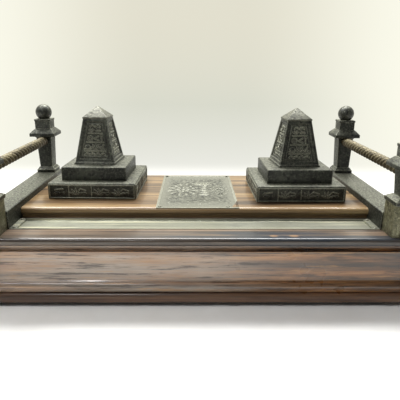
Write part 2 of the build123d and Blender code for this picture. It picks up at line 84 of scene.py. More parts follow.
def editWith(piece, wanted):
    # into edit mode with only the wanted faces selected
    makeActive(piece)
    bpy.ops.object.mode_set(mode="EDIT")
    bpy.ops.mesh.select_mode(type="FACE")
    bpy.ops.mesh.select_all(action="DESELECT")
    bpy.ops.object.mode_set(mode="OBJECT")
    for face in piece.data.polygons:
        face.select = wanted(face)
    bpy.ops.object.mode_set(mode="EDIT")


def leaveEdit():
    bpy.ops.object.mode_set(mode="OBJECT")


def applyPlace(piece):
    makeActive(piece)
    bpy.ops.object.transform_apply(location=True, rotation=True, scale=True)


def joinAll(parts):
    clearSelection()
    for part in parts:
        part.select_set(True)
    bpy.context.view_layer.objects.active = parts[0]
    if len(parts) > 1:
        bpy.ops.object.join()
    piece = bpy.context.object
    applyPlace(piece)
    return piece


def addBox(size, place, turn=(0, 0, 0), bevel=0.0):
    clearSelection()
    bpy.ops.mesh.primitive_cube_add(size=1, location=place, rotation=turn, scale=size)
    piece = bpy.context.object
    applyPlace(piece)
    if bevel:
        bevelEdges(piece, bevel, 1)
    return piece


def addDome(size, place, turn=(0, 0, 0), segments=12, rings=7):
    clearSelection()
    bpy.ops.mesh.primitive_uv_sphere_add(segments=segments, ring_count=rings, radius=0.5,
                                         location=place, rotation=turn, scale=size)
    piece = bpy.context.object
    applyPlace(piece)
    return piece


def bevelEdges(piece, width, segments=2, angle=25):
    makeActive(piece)
    bevel = piece.modifiers.new("edges", "BEVEL")
    bevel.width = width
    bevel.segments = segments
    bevel.limit_method = "ANGLE"
    bevel.angle_limit = math.radians(angle)
    bevel.use_clamp_overlap = True
    bpy.ops.object.modifier_apply(modifier="edges")


def smoothByAngle(piece, angle=35):
    makeActive(piece)
    bpy.ops.object.shade_smooth_by_angle(angle=math.radians(angle))


def copyPiece(piece, name):
    copied = piece.copy()
    copied.data = piece.data.copy()
    copied.name = name
    bpy.context.scene.collection.objects.link(copied)
    return copied


def finishPiece(piece, name, body, material, smooth=35):
    piece.name = name
    piece.data.name = name
    piece.data.materials.clear()
    piece.data.materials.append(material)
    if smooth:
        smoothByAngle(piece, smooth)
    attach(piece, body)
    return piece


# colours and nodes

def hexColour(code):
    parts = [int(code[i:i + 2], 16) / 255 for i in (1, 3, 5)]
    return tuple(c / 12.92 if c < 0.04045 else ((c + 0.055) / 1.055) ** 2.4 for c in parts) + (1.0,)


class Nodes:
    # short words for building one material's node tree
    def __init__(self, name):
        self.material = bpy.data.materials.new(name)
        self.material.use_nodes = True
        self.tree = self.material.node_tree
        self.shader = self.tree.nodes["Principled BSDF"]
        self.coords = self.add("ShaderNodeTexCoord").outputs["Object"]

    def add(self, kind, **settings):
        made = self.tree.nodes.new(kind)
        for key, value in settings.items():
            setattr(made, key, value)
        return made

    def put(self, value, socket):
        if isinstance(value, bpy.types.NodeSocket):
            self.tree.links.new(value, socket)
        else:
            socket.default_value = value

    def stretch(self, scale):
        mapping = self.add("ShaderNodeMapping")
        self.put(self.coords, mapping.inputs["Vector"])
        mapping.inputs["Scale"].default_value = scale
        return mapping.outputs["Vector"]

    def noise(self, scale, detail=4.0, rough=0.55, coords=None, distortion=0.0):
        made = self.add("ShaderNodeTexNoise")
        self.put(coords or self.coords, made.inputs["Vector"])
        made.inputs["Scale"].default_value = scale
        made.inputs["Detail"].default_value = detail
        made.inputs["Roughness"].default_value = rough
        made.inputs["Distortion"].default_value = distortion
        return made.outputs["Fac"]

    def span(self, value, low, high, toLow=0.0, toHigh=1.0):
        made = self.add("ShaderNodeMapRange", interpolation_type="SMOOTHSTEP")
        self.put(value, made.inputs["Value"])
        for key, number in (("From Min", low), ("From Max", high), ("To Min", toLow), ("To Max", toHigh)):
            made.inputs[key].default_value = number
        return made.outputs["Result"]

    def maths(self, operation, first, second=0.0, clamp=False):
        made = self.add("ShaderNodeMath", operation=operation, use_clamp=clamp)
        self.put(first, made.inputs[0])
        self.put(second, made.inputs[1])
        return made.outputs["Value"]

    def mix(self, share, first, second, blend="MIX"):
        made = self.add("ShaderNodeMix", data_type="RGBA", blend_type=blend)
        self.put(share, made.inputs["Factor"])
        self.put(first, made.inputs["A"])
        self.put(second, made.inputs["B"])
        return made.outputs["Result"]

    def ramp(self, value, stops):
        made = self.add("ShaderNodeValToRGB")
        self.put(value, made.inputs["Fac"])
        bar = made.color_ramp.elements
        while len(bar) < len(stops):
            bar.new(0.5)
        for element, (place, code) in zip(bar, stops):
            element.position = place
            element.color = hexColour(code)
        return made.outputs["Color"]

    def axis(self, letter):
        parts = self.add("ShaderNodeSeparateXYZ")
        self.put(self.coords, parts.inputs["Vector"])
        return parts.outputs[letter]

    def facing(self, letter):
        parts = self.add("ShaderNodeSeparateXYZ")
        self.put(self.add("ShaderNodeNewGeometry").outputs["Normal"], parts.inputs["Vector"])
        return parts.outputs[letter]

    def edges(self, radius, low=0.02, high=0.18):
        # 1 on sharp outer edges, where hands and cloths rub
        bevel = self.add("ShaderNodeBevel", samples=4)
        bevel.inputs["Radius"].default_value = radius
        dot = self.add("ShaderNodeVectorMath", operation="DOT_PRODUCT")
        self.put(bevel.outputs["Normal"], dot.inputs[0])
        self.put(self.add("ShaderNodeNewGeometry").outputs["Normal"], dot.inputs[1])
        return self.span(self.maths("SUBTRACT", 1.0, dot.outputs["Value"]), low, high)

    def bump(self, height, depth, strength=1.0, under=None):
        made = self.add("ShaderNodeBump")
        made.inputs["Strength"].default_value = strength
        made.inputs["Distance"].default_value = depth
        self.put(height, made.inputs["Height"])
        if under:
            self.put(under, made.inputs["Normal"])
        return made.outputs["Normal"]


# bronze

bronze = {
    # the darkest colour is the dark patina of the hollows and also the painted shade on upright faces; the
    # rubbed colour is rubbed wear and also the painted light on faces that look up and on edges
    "hollow": "#141511", "patina": "#33352d", "bloom": "#5c5e51", "rubbedAndLit": "#a8a893",
    "metallic": 0.35, "lightShare": 0.9, "sideShade": 0.45, "roughLow": 0.34, "roughHigh": 0.58,
    "patch": 45.0, "speckle": 560.0, "edge": 0.7 * mm,
}


def makeBronze(name, tones, topLight=0.35):
    n = Nodes(name)
    patches = n.noise(tones["patch"], 5.0, 0.6)
    speckle = n.noise(tones["speckle"], 3.0, 0.7)
    colour = n.ramp(patches, [(0.25, tones["hollow"]), (0.5, tones["patina"]), (0.78, tones["bloom"])])
    light = n.span(speckle, 0.5, 0.62, 0.0, tones["lightShare"])
    colour = n.mix(light, colour, hexColour(tones["bloom"]))
    dark = n.span(n.noise(tones["speckle"] * 0.55, 2.0, 0.7), 0.34, 0.47, 0.85, 0.0)
    colour = n.mix(dark, colour, hexColour(tones["hollow"]))
    # painted shade: upright faces are darkened towards the darkest colour
    sides = n.span(n.facing("Z"), 0.03, 0.3, tones["sideShade"], 0.0)
    colour = n.mix(sides, colour, hexColour(tones["hollow"]))
    # painted light: faces that look up are lightened towards the rubbed colour
    top = n.span(n.facing("Z"), 0.55, 0.98, 0.0, topLight)
    top = n.maths("MULTIPLY", top, n.span(speckle, 0.3, 0.65))
    colour = n.mix(top, colour, hexColour(tones["rubbedAndLit"]))
    # edges lightened towards the rubbed colour: partly rubbed wear, partly a painted highlight
    rub = n.maths("MULTIPLY", n.edges(tones["edge"], 0.01, 0.11), n.span(patches, 0.3, 0.6, 0.45, 0.95))
    colour = n.mix(rub, colour, hexColour(tones["rubbedAndLit"]))
    n.put(colour, n.shader.inputs["Base Color"])
    n.put(n.span(speckle, 0.3, 0.7, tones["roughHigh"], tones["roughLow"]), n.shader.inputs["Roughness"])
    n.shader.inputs["Metallic"].default_value = tones["metallic"]
    coarse = n.bump(patches, 0.5 * mm, 0.5)
    n.put(n.bump(speckle, 0.28 * mm, 1.0, coarse), n.shader.inputs["Normal"])
    return n.material


darkBronze = makeBronze("darkBronze", bronze)
# a paler copy of the bronze that paints the light falling on the pyramidions; the small pins take it too
litPaleBronze = makeBronze("litPaleBronze", dict(
    bronze, hollow="#34352c", patina="#595a4f", bloom="#7d7d6f", rubbedAndLit="#9c9a87",
    metallic=0.4), 0.35)
# a paler copy of the bronze that paints the light falling on the front pedestals and corner leaves
litLeafBronze = makeBronze("litLeafBronze", dict(
    bronze, hollow="#3a3a2a", patina="#6d6a50", bloom="#8f8c6e", rubbedAndLit="#b5b195",
    metallic=0.4, patch=120.0), 0.5)
oliveBrass = makeBronze("oliveBrass", dict(
    bronze, hollow="#231e12", patina="#594f35", bloom="#83795a", rubbedAndLit="#aaa07c", metallic=0.25,
    patch=90.0, speckle=900.0, roughLow=0.45, roughHigh=0.65), 0.3)


# plaque: dark stippled ground, raised shapes rubbed pale
plaqueTones = {"ground": "#57584c", "dark": "#2e2f28", "pale": "#737366", "raised": "#858576"}


def makePlaqueBronze():
    n = Nodes("plaqueBronze")
    low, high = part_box("centre_plaque")
    stipple = n.noise(420.0, 2.0, 0.7)
    clouds = n.noise(50.0, 4.0, 0.6)
    colour = n.ramp(stipple, [(0.36, plaqueTones["dark"]), (0.5, plaqueTones["ground"]),
                              (0.62, plaqueTones["pale"])])
    # round the rim the ground is plain and pale
    acrossX = n.maths("ABSOLUTE", n.maths("SUBTRACT", n.axis("X"), (low.x + high.x) / 2))
    acrossY = n.maths("ABSOLUTE", n.maths("SUBTRACT", n.axis("Y"), (low.y + high.y) / 2))
    plain = n.maths("MAXIMUM", n.span(acrossX, 0.022, 0.031), n.span(acrossY, 0.034, 0.05))
    plain = n.maths("MULTIPLY", plain, n.span(clouds, 0.3, 0.7, 0.7, 1.0), clamp=True)
    colour = n.mix(plain, colour, hexColour(plaqueTones["pale"]))
    raised = n.span(n.axis("Z"), high.z - 0.2 * mm, high.z + 0.05 * mm)
    raised = n.maths("MULTIPLY", raised, n.span(stipple, 0.35, 0.5, 0.35, 0.9))
    colour = n.mix(raised, colour, hexColour(plaqueTones["raised"]))
    n.put(colour, n.shader.inputs["Base Color"])
    n.shader.inputs["Metallic"].default_value = 0.35
    n.put(n.span(clouds, 0.3, 0.7, 0.55, 0.42), n.shader.inputs["Roughness"])
    n.put(n.bump(stipple, 0.25 * mm, 1.0), n.shader.inputs["Normal"])
    return n.material


plaqueBronze = makePlaqueBronze()


# pen tray: pale worn plate with long painted highlight streaks
traySettings = {
    "groove": "#55564c", "rightSide": "#6c6d62", "dull": "#6f7063", "pale": "#a9aa97", "paintedHighlight": "#dcd8b4",
    "streak": (10.0, 420.0, 420.0),
}


def makeTrayBronze():
    n = Nodes("trayBronze")
    streaks = n.noise(1.0, 3.0, 0.6, n.stretch(traySettings["streak"]))
    clouds = n.noise(28.0, 4.0, 0.6)
    pits = n.noise(900.0, 2.0, 0.6)
    colour = n.ramp(clouds, [(0.3, traySettings["dull"]), (0.7, traySettings["pale"])])
    # painted highlights: bright dashes along the high streaks
    colour = n.mix(n.span(streaks, 0.56, 0.68, 0.0, 0.8), colour, hexColour(traySettings["paintedHighlight"]))
    colour = n.mix(n.span(streaks, 0.3, 0.42, 0.5, 0.0), colour, hexColour(traySettings["groove"]))
    # the left half is the lighter one
    side = n.span(n.axis("X"), -0.1, 0.08, 0.0, 0.5)
    colour = n.mix(side, colour, hexColour(traySettings["rightSide"]))
    n.put(colour, n.shader.inputs["Base Color"])
    n.put(n.span(clouds, 0.3, 0.7, 0.5, 0.32), n.shader.inputs["Roughness"])
    n.shader.inputs["Metallic"].default_value = 0.45
    n.put(n.bump(pits, 0.1 * mm, 0.8, n.bump(streaks, 0.2 * mm, 0.6)), n.shader.inputs["Normal"])
    return n.material


trayBronze = makeTrayBronze()


# wood

rosewood = {
    "dark": "#22150e", "brown": "#4d3725", "warm": "#795637", "pale": "#9b7a56",
    "paintedSheen": "#b3a698", "paintedSheenShare": 0.0, "along": "X",
    "streak": 16.0, "lines": (6.0, 210.0, 210.0), "lineShare": 0.85,
    "roughLow": 0.26, "roughHigh": 0.45, "coat": 0.35, "coatRough": 0.11,
}


def makeWood(name, changes=None, extra=None):
    tones = dict(rosewood, **(changes or {}))
    n = Nodes(name)
    longScale, crossScale = 0.5, tones["streak"]
    alongX = tones["along"] == "X"
    grainScale = (longScale, crossScale, crossScale) if alongX else (crossScale, longScale, crossScale)
    poreScale = (0.6, 22.0, 22.0) if alongX else (22.0, 0.6, 22.0)
    grain = n.stretch(grainScale)
    figure = n.noise(9.0, 6.0, 0.62, grain, 0.8)
    broad = n.noise(3.0, 3.0, 0.5, grain, 0.4)
    pores = n.noise(60.0, 3.0, 0.7, n.stretch(poreScale))
    patchy = n.noise(14.0, 4.0, 0.6)
    blend = n.maths("ADD", n.maths("MULTIPLY", figure, 0.65), n.maths("MULTIPLY", broad, 0.35))
    colour = n.ramp(blend, [(0.38, tones["dark"]), (0.47, tones["brown"]), (0.54, tones["warm"]),
                            (0.64, tones["pale"])])
    lineScale = tones["lines"] if alongX else tones["lines"][1::-1] + tones["lines"][2:]
    lines = n.noise(1.0, 4.0, 0.7, n.stretch(lineScale))
    colour = n.mix(n.span(lines, 0.54, 0.66, 0.0, tones["lineShare"]), colour, hexColour(tones["dark"]))
    colour = n.mix(n.span(lines, 0.3, 0.42, tones["lineShare"] * 0.6, 0.0), colour, hexColour(tones["pale"]))
    colour = n.mix(n.span(pores, 0.56, 0.7, 0.0, 0.6), colour, hexColour(tones["dark"]))
    if tones["paintedSheenShare"]:
        # painted sheen: a milky light painted into the colour on the left and in the middle, clear to the
        # right
        paintedSheenMask = n.span(n.axis("X"), -0.03, 0.085, tones["paintedSheenShare"], 0.05)
        wisps = n.noise(1.0, 5.0, 0.65, n.stretch((9.0, 130.0, 130.0)))
        paintedSheenMask = n.maths("MULTIPLY", paintedSheenMask, n.span(wisps, 0.32, 0.66, 0.4, 1.25))
        paintedSheenMask = n.maths("MULTIPLY", paintedSheenMask, n.span(patchy, 0.25, 0.7, 0.75, 1.1))
        paintedSheenMask = n.maths("MULTIPLY", paintedSheenMask, n.span(n.axis("X"), -0.183, -0.13), clamp=True)
        colour = n.mix(paintedSheenMask, colour, hexColour(tones["paintedSheen"]))
        dashes = n.noise(1.0, 5.0, 0.75, n.stretch((16.0, 330.0, 330.0)))
        colour = n.mix(n.span(dashes, 0.52, 0.62, 0.0, 0.8), colour, hexColour(tones["dark"]))
        colour = n.mix(n.span(dashes, 0.36, 0.45, 0.5, 0.0), colour, hexColour(tones["pale"]))
        # painted shade: both ends of the front face are darkened
        paintedEndShade = n.span(n.maths("ABSOLUTE", n.axis("X")), 0.138, 0.172, 0.0, 0.9)
        colour = n.mix(paintedEndShade, colour, hexColour(tones["dark"]))
    if extra:
        colour = extra(n, colour)
    rub = n.maths("MULTIPLY", n.edges(1.2 * mm), n.span(patchy, 0.35, 0.65, 0.1, 0.6))
    colour = n.mix(rub, colour, hexColour(tones["pale"]))
    n.put(colour, n.shader.inputs["Base Color"])
    n.put(n.span(patchy, 0.3, 0.7, tones["roughHigh"], tones["roughLow"]), n.shader.inputs["Roughness"])
    n.shader.inputs["Coat Weight"].default_value = tones["coat"]
    n.shader.inputs["Coat Roughness"].default_value = tones["coatRough"]
    n.put(n.bump(pores, 0.12 * mm, 0.5, n.bump(figure, 0.15 * mm, 0.5)), n.shader.inputs["Normal"])
    return n.material


def blot(n, centre, reach, rough=26.0):
    # 1 inside an uneven patch round a point of the board
    gap = n.add("ShaderNodeVectorMath", operation="SUBTRACT")
    n.put(n.coords, gap.inputs[0])
    gap.inputs[1].default_value = centre
    squeezed = n.add("ShaderNodeVectorMath", operation="DIVIDE")
    n.put(gap.outputs["Vector"], squeezed.inputs[0])
    squeezed.inputs[1].default_value = reach
    length = n.add("ShaderNodeVectorMath", operation="LENGTH")
    n.put(squeezed.outputs["Vector"], length.inputs[0])
    uneven = n.noise(rough, 4.0, 0.65, n.stretch((1.0, 5.0, 5.0)))
    edge = n.maths("ADD", length.outputs["Value"], n.maths("MULTIPLY", uneven, 1.2))
    return n.span(edge, 1.1, 1.9, 1.0, 0.0)


# ink spilt along the front ledge: place along X, distance from the front edge, half length, half width
stains = {
    "ink": "#262d35", "inkShare": 0.92, "level": 0.056, "deep": 0.02,
    "inkSpots": [(0.055, 12 * mm, 0.060, 0.004), (0.02, 5 * mm, 0.075, 0.003),
                 (0.09, 5 * mm, 0.080, 0.003), (0.085, 1.5 * mm, 0.09, 0.0016)],
    "bare": "#9c7a58", "bareShare": 0.7, "bareSpots": (0.058, 0.073), "bareInset": 7 * mm,
    "bareReach": (0.0034, 0.002), "bareRough": 90.0,
}


def boardStains(n, colour):
    # mostly on the right, with two small places rubbed to bare wood
    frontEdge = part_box("top_board")[0].y
    level, deep = stains["level"], stains["deep"]
    for x, inset, halfLength, halfWidth in stains["inkSpots"]:
        spot = blot(n, (x, frontEdge + inset, level), (halfLength, halfWidth, deep))
        colour = n.mix(n.maths("MULTIPLY", spot, stains["inkShare"]), colour, hexColour(stains["ink"]))
    for x in stains["bareSpots"]:
        place = (x, frontEdge + stains["bareInset"], level)
        worn = blot(n, place, stains["bareReach"] + (deep,), stains["bareRough"])
        colour = n.mix(n.maths("MULTIPLY", worn, stains["bareShare"]), colour, hexColour(stains["bare"]))
    return colour


plinthTones = {"dark": "#241710", "brown": "#4d3727", "warm": "#6a4d36", "pale": "#80624a"}


woodFront = makeWood("woodFront", {
    "coat": 0.6, "paintedSheenShare": 0.66, "brown": "#634222", "warm": "#946130", "pale": "#b98850"})
woodSide = makeWood("woodSide", {"along": "Y"})
woodBack = makeWood("woodBack")
woodPlinth = makeWood("woodPlinth", plinthTones)
woodPlinthSide = makeWood("woodPlinthSide", dict(plinthTones, along="Y"))
woodTop = makeWood("woodTop", {
    "dark": "#2e241c", "brown": "#564a3d", "warm": "#6f5c4a", "pale": "#8f7d69",
    "roughLow": 0.3}, boardStains)
woodDeck = makeWood("woodDeck", {
    "dark": "#3a2c1e", "brown": "#6b5439", "warm": "#8f744f", "pale": "#ab956f",
    "streak": 9.0, "lineShare": 0.65})
woodPine = makeWood("woodPine", {
    "dark": "#8a6a42", "brown": "#a98656", "warm": "#bd9a68", "pale": "#cfb084", "coat": 0.0, "roughLow": 0.6,
    "roughHigh": 0.75})


# steel, glass, ink

def makeSteel():
    n = Nodes("screwSteel")
    cloud = n.noise(300.0, 3.0)
    n.put(n.ramp(cloud, [(0.3, "#5a5850"), (0.7, "#8d8b83")]), n.shader.inputs["Base Color"])
    n.shader.inputs["Metallic"].default_value = 0.9
    n.put(n.span(cloud, 0.3, 0.7, 0.5, 0.3), n.shader.inputs["Roughness"])
    n.put(n.bump(n.noise(1500.0, 2.0), 0.05 * mm, 0.6), n.shader.inputs["Normal"])
    return n.material


def makeGlass():
    n = Nodes("potGlass")
    swirl = n.noise(60.0, 3.0)
    n.put(n.ramp(swirl, [(0.3, "#9fb0aa"), (0.7, "#c3d0ca")]), n.shader.inputs["Base Color"])
    n.shader.inputs["Transmission Weight"].default_value = 0.55
    n.shader.inputs["IOR"].default_value = 1.5
    n.put(n.span(swirl, 0.3, 0.7, 0.12, 0.05), n.shader.inputs["Roughness"])
    n.put(n.bump(swirl, 0.3 * mm, 0.3), n.shader.inputs["Normal"])
    return n.material


def makeInk():
    n = Nodes("driedInk")
    film = n.noise(180.0, 4.0)
    n.put(n.ramp(film, [(0.3, "#0b0d14"), (0.7, "#1d2230")]), n.shader.inputs["Base Color"])
    n.put(n.span(film, 0.3, 0.7, 0.15, 0.45), n.shader.inputs["Roughness"])
    n.put(n.bump(film, 0.2 * mm, 0.5), n.shader.inputs["Normal"])
    return n.material


screwSteel = makeSteel()
potGlass = makeGlass()
driedInk = makeInk()
print("materials made")


# finishes for the CAD nodes that stay

nodeFinish = {
    "front_rail": woodFront, "back_rail": woodBack, "left_rail": woodSide, "right_rail": woodSide,
    "front_plinth": woodPlinth, "back_plinth": woodPlinth,
    "left_plinth": woodPlinthSide, "right_plinth": woodPlinthSide,
    "top_board": woodTop, "deck_board": woodDeck, "bottom_board": woodPine, "corner_blocks": woodPine,
    "pen_tray": trayBronze, "feet": woodPlinth, "tray_pins": litPaleBronze, "plaque_pins": litPaleBronze,
    "ink_pot_left": potGlass, "ink_pot_right": potGlass,
    "pyramidion_left": litPaleBronze, "pyramidion_right": litPaleBronze, "centre_plaque": plaqueBronze,
    "front_pedestal_left": litLeafBronze, "front_pedestal_right": litLeafBronze,
    "twist_rail_left": oliveBrass, "twist_rail_right": oliveBrass,
}


def finishFor(name):
    if name in nodeFinish:
        return nodeFinish[name]
    if any(word in name for word in ("screw", "bolt", "nut", "pin")):
        return screwSteel
    return darkBronze


for name, node in cadNodes.items():
    node.data.materials.clear()
    node.data.materials.append(finishFor(name))
    smoothByAngle(node, 30)
print("CAD nodes finished")


# bronze castings with eased edges

castings = {"ease": 0.35 * mm, "segments": 2}


def easeCasting(name, width=castings["ease"], material=None):
    # a copy of the node, merged and flattened, with its sharp edges eased
    source = cadNodes[name]
    piece = copyPiece(source, "cast_" + name)
    piece.parent = None
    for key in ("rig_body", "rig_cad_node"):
        if key in piece:
            del piece[key]
    makeActive(piece)
    bpy.ops.object.mode_set(mode="EDIT")
    bpy.ops.mesh.select_all(action="SELECT")
    bpy.ops.mesh.remove_doubles(threshold=0.01 * mm)
    bpy.ops.mesh.dissolve_limited(angle_limit=math.radians(1.0))
    leaveEdit()
    bevelEdges(piece, width, castings["segments"], 30)
    finishPiece(piece, "cast_" + name, source["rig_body"], material or finishFor(name), 40)
    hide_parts(name)
    return piece


for side in ("left", "right"):
    for part in ("gallery_bar", "rear_post", "front_post", "rear_cap", "front_cap", "rear_finial",
                 "front_finial", "front_pedestal", "well_base", "lid"):
        easeCasting(f"{part}_{side}")
    easeCasting(f"pyramidion_{side}", 0.4 * mm)
print("castings eased")


# rope-twisted rails

ropeRail = {"strands": 3, "strandR": 2.65 * mm, "strandOut": 1.85 * mm, "sides": 14, "pitch": 19 * mm,
            "ringsPerTurn": 30}


def addRopeRail(name, body, handed):
    low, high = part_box(name)
    centre = (low + high) / 2
    length = high.y - low.y
    strands = []
    for i in range(ropeRail["strands"]):
        angle = fullTurn * i / ropeRail["strands"]
        place = (ropeRail["strandOut"] * math.cos(angle), ropeRail["strandOut"] * math.sin(angle), 0)
        clearSelection()
        bpy.ops.mesh.primitive_circle_add(vertices=ropeRail["sides"], radius=ropeRail["strandR"],
                                          location=place)
        strands.append(bpy.context.object)
    rope = joinAll(strands)
    turns = length / ropeRail["pitch"]
    twist = rope.modifiers.new("twist", "SCREW")
    twist.axis = "Z"
    twist.angle = handed * turns * fullTurn
    twist.screw_offset = length
    twist.steps = twist.render_steps = round(turns * ropeRail["ringsPerTurn"])
    makeActive(rope)
    bpy.ops.object.modifier_apply(modifier="twist")
    bpy.ops.object.mode_set(mode="EDIT")
    bpy.ops.mesh.select_all(action="SELECT")
    bpy.ops.mesh.fill_holes(sides=ropeRail["sides"])
    bpy.ops.mesh.normals_make_consistent(inside=False)
    leaveEdit()
    # from standing on end to lying along the gallery
    rope.rotation_euler = (math.radians(90), 0, 0)
    rope.location = (centre.x, high.y, centre.z)
    applyPlace(rope)
    finishPiece(rope, "rope_" + name, body, oliveBrass, 60)
    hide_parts(name)


addRopeRail("twist_rail_left", "stand", 1)
addRopeRail("twist_rail_right", "stand", -1)
print("rope rails twisted")


# relief marks: small raised shapes on an upright plate whose front looks along -Y

def markBar(x, z, width, height, depth, turn=0.0):
    return addBox((width, depth * 2, height), (x, 0, z), (0, turn, 0), min(width, height) * 0.25)


def markDome(x, z, width, height, depth):
    return addDome((width, depth * 2, height), (x, 0, z), segments=10, rings=6)


def markRing(x, z, radius, thick, depth):
    clearSelection()
    bpy.ops.mesh.primitive_torus_add(major_radius=radius, minor_radius=thick / 2, major_segments=16,
                                     minor_segments=6, location=(x, 0, z), rotation=(math.pi / 2, 0, 0))
    ring = bpy.context.object
    applyPlace(ring)
    makeActive(ring)
    bpy.ops.object.mode_set(mode="EDIT")
    bpy.ops.mesh.select_all(action="SELECT")
    bpy.ops.transform.resize(value=(1, depth / (thick / 2), 1), center_override=(x, 0, z))
    leaveEdit()
    return ring


def markFan(x, z, radius, thick, depth, blades=5, spread=2.2):
    parts = []
    for i in range(blades):
        lean = spread * (i / (blades - 1) - 0.5)
        middle = (x + math.sin(lean) * radius / 2, z + math.cos(lean) * radius / 2)
        parts.append(addDome((thick, depth * 2, radius), (middle[0], 0, middle[1]), (0, lean, 0), 8, 5))
    return parts


def markWave(x, z, width, thick, depth, steps=6):
    parts = []
    run = width / steps
    for i in range(steps):
        lean = math.radians(38 if i % 2 else -38)
        parts.append(markBar(x - width / 2 + run * (i + 0.5), z, run * 1.35, thick, depth, lean))
    return parts


# obelisks

obeliskShape = {
    "foot": 38.0 * mm, "footHigh": 2.0 * mm, "footEase": 1.6 * mm, "shaft": 35.6 * mm, "top": 21.5 * mm,
    "frame": 2.6 * mm, "step": 0.6 * mm, "sunk": 1.0 * mm, "turns": {"left": -4.4, "right": 5.2},
}


def addObeliskShaft(low, high):
    # upright, centred on the Z axis
    shape = obeliskShape
    foot = shape["foot"]
    shaft = addBox((foot, foot, shape["footHigh"]), (0, 0, low + shape["footHigh"] / 2))
    top = low + shape["footHigh"]
    editWith(shaft, lambda face: face.normal.z > 0.9)
    share = (foot - shape["footEase"]) / foot
    bpy.ops.transform.resize(value=(share, share, 1), center_override=(0, 0, top))
    bpy.ops.mesh.inset(thickness=(foot - shape["footEase"] - shape["shaft"]) / 2, depth=0)
    bpy.ops.mesh.extrude_region_move(TRANSFORM_OT_translate={"value": (0, 0, high - top)})
    share = shape["top"] / shape["shaft"]
    bpy.ops.transform.resize(value=(share, share, 1), center_override=(0, 0, high))
    leaveEdit()
    # framed panels on the four sides
    editWith(shaft, lambda face: abs(face.normal.z) < 0.5 and face.center.z > low + 10 * mm)
    bpy.ops.mesh.inset(thickness=shape["frame"], depth=0, use_individual=True)
    bpy.ops.mesh.inset(thickness=shape["step"], depth=-shape["sunk"], use_individual=True)
    bpy.ops.mesh.inset(thickness=1.1 * mm, depth=0, use_individual=True)
    bpy.ops.mesh.inset(thickness=0.3 * mm, depth=0.45 * mm, use_individual=True)
    bpy.ops.mesh.inset(thickness=0.7 * mm, depth=0, use_individual=True)
    bpy.ops.mesh.inset(thickness=0.3 * mm, depth=-0.45 * mm, use_individual=True)
    leaveEdit()
    bevelEdges(shaft, 0.25 * mm, 2, 20)
    return shaft


def addPanelMarks():
    # four rows of invented ornament, widest at the foot; local z is up the panel from its middle
    d = 0.55 * mm
    parts = []
    parts += markWave(0, -12.2 * mm, 19 * mm, 1.3 * mm, d, 8)
    parts += [markBar(0, -9.4 * mm, 19.5 * mm, 0.9 * mm, d)]
    parts += [markDome(-6.6 * mm, -5.6 * mm, 4.6 * mm, 3.2 * mm, d)]
    parts += [markBar(-6.6 * mm, -7.6 * mm, 6.0 * mm, 0.9 * mm, d)]
    parts += markFan(0.4 * mm, -7.9 * mm, 5.6 * mm, 1.5 * mm, d)
    parts += [markBar(6.6 * mm, -5.6 * mm, 1.4 * mm, 5.0 * mm, d, 0.5)]
    parts += [markDome(4.6 * mm, -6.6 * mm, 1.9 * mm, 1.9 * mm, d)]
    parts += [markDome(8.2 * mm, -7.4 * mm, 1.7 * mm, 1.7 * mm, d)]
    parts += [markBar(0, -1.6 * mm, 16.5 * mm, 0.8 * mm, d)]
    parts += [markRing(-4.4 * mm, 1.9 * mm, 2.2 * mm, 1.0 * mm, d)]
    parts += [markDome(-4.4 * mm, 1.9 * mm, 1.5 * mm, 1.5 * mm, d)]
    parts += [markBar(1.2 * mm, 2.9 * mm, 5.2 * mm, 1.0 * mm, d, -0.5)]
    parts += [markBar(1.6 * mm, 0.7 * mm, 4.6 * mm, 1.0 * mm, d, 0.35)]
    parts += [markBar(5.9 * mm, 1.8 * mm, 1.3 * mm, 4.8 * mm, d)]
    parts += [markDome(5.9 * mm, 4.4 * mm, 2.4 * mm, 1.8 * mm, d)]
    parts += [markBar(0, 6.3 * mm, 13.5 * mm, 0.8 * mm, d)]
    parts += markFan(-3.3 * mm, 7.6 * mm, 3.8 * mm, 1.2 * mm, d, 4, 1.9)
    parts += [markDome(2.9 * mm, 10.6 * mm, 3.6 * mm, 2.0 * mm, d)]
    parts += [markBar(2.9 * mm, 8.6 * mm, 4.8 * mm, 0.9 * mm, d)]
    parts += markWave(0, 12.9 * mm, 9.5 * mm, 1.0 * mm, d, 4)
    return joinAll(parts)


def addObelisks():
    shape = obeliskShape
    low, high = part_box("obelisk_left")
    shaft = addObeliskShaft(low.z, high.z)
    marks = addPanelMarks()
    shaftLow = low.z + shape["footHigh"]
    rise = high.z - shaftLow
    lean = math.atan((shape["shaft"] - shape["top"]) / 2 / rise)
    faceOut = (shape["shaft"] + shape["top"]) / 4 - shape["sunk"] * 0.9
    parts = [shaft]
    for quarter in range(4):
        panel = copyPiece(marks, "panel")
        place = Matrix.Rotation(quarter * math.pi / 2, 4, "Z") @ Matrix.Translation(
            (0, -faceOut, shaftLow + rise / 2)) @ Matrix.Rotation(-lean, 4, "X")
        panel.matrix_world = place
        applyPlace(panel)
        parts.append(panel)
    bpy.data.objects.remove(marks)
    upright = joinAll(parts)
    for side in ("left", "right"):
        name = "obelisk_" + side
        low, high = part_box(name)
        centre = (low + high) / 2
        piece = copyPiece(upright, "carved_" + name)
        piece.rotation_euler = (0, 0, math.radians(shape["turns"][side]))
        piece.location = (centre.x, centre.y, 0)
        applyPlace(piece)
        finishPiece(piece, "carved_" + name, "lid_" + side, darkBronze, 35)
        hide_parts(name)
    bpy.data.objects.remove(upright)


addObelisks()
print("obelisks carved")


# relief on the lower steps

stepRelief = {"width": 76.2 * mm, "high": 14.1 * mm, "border": 1.1 * mm, "proud": 0.45 * mm,
              "divider": -0.264, "turns": {"left": -1.6, "right": 0.6}}


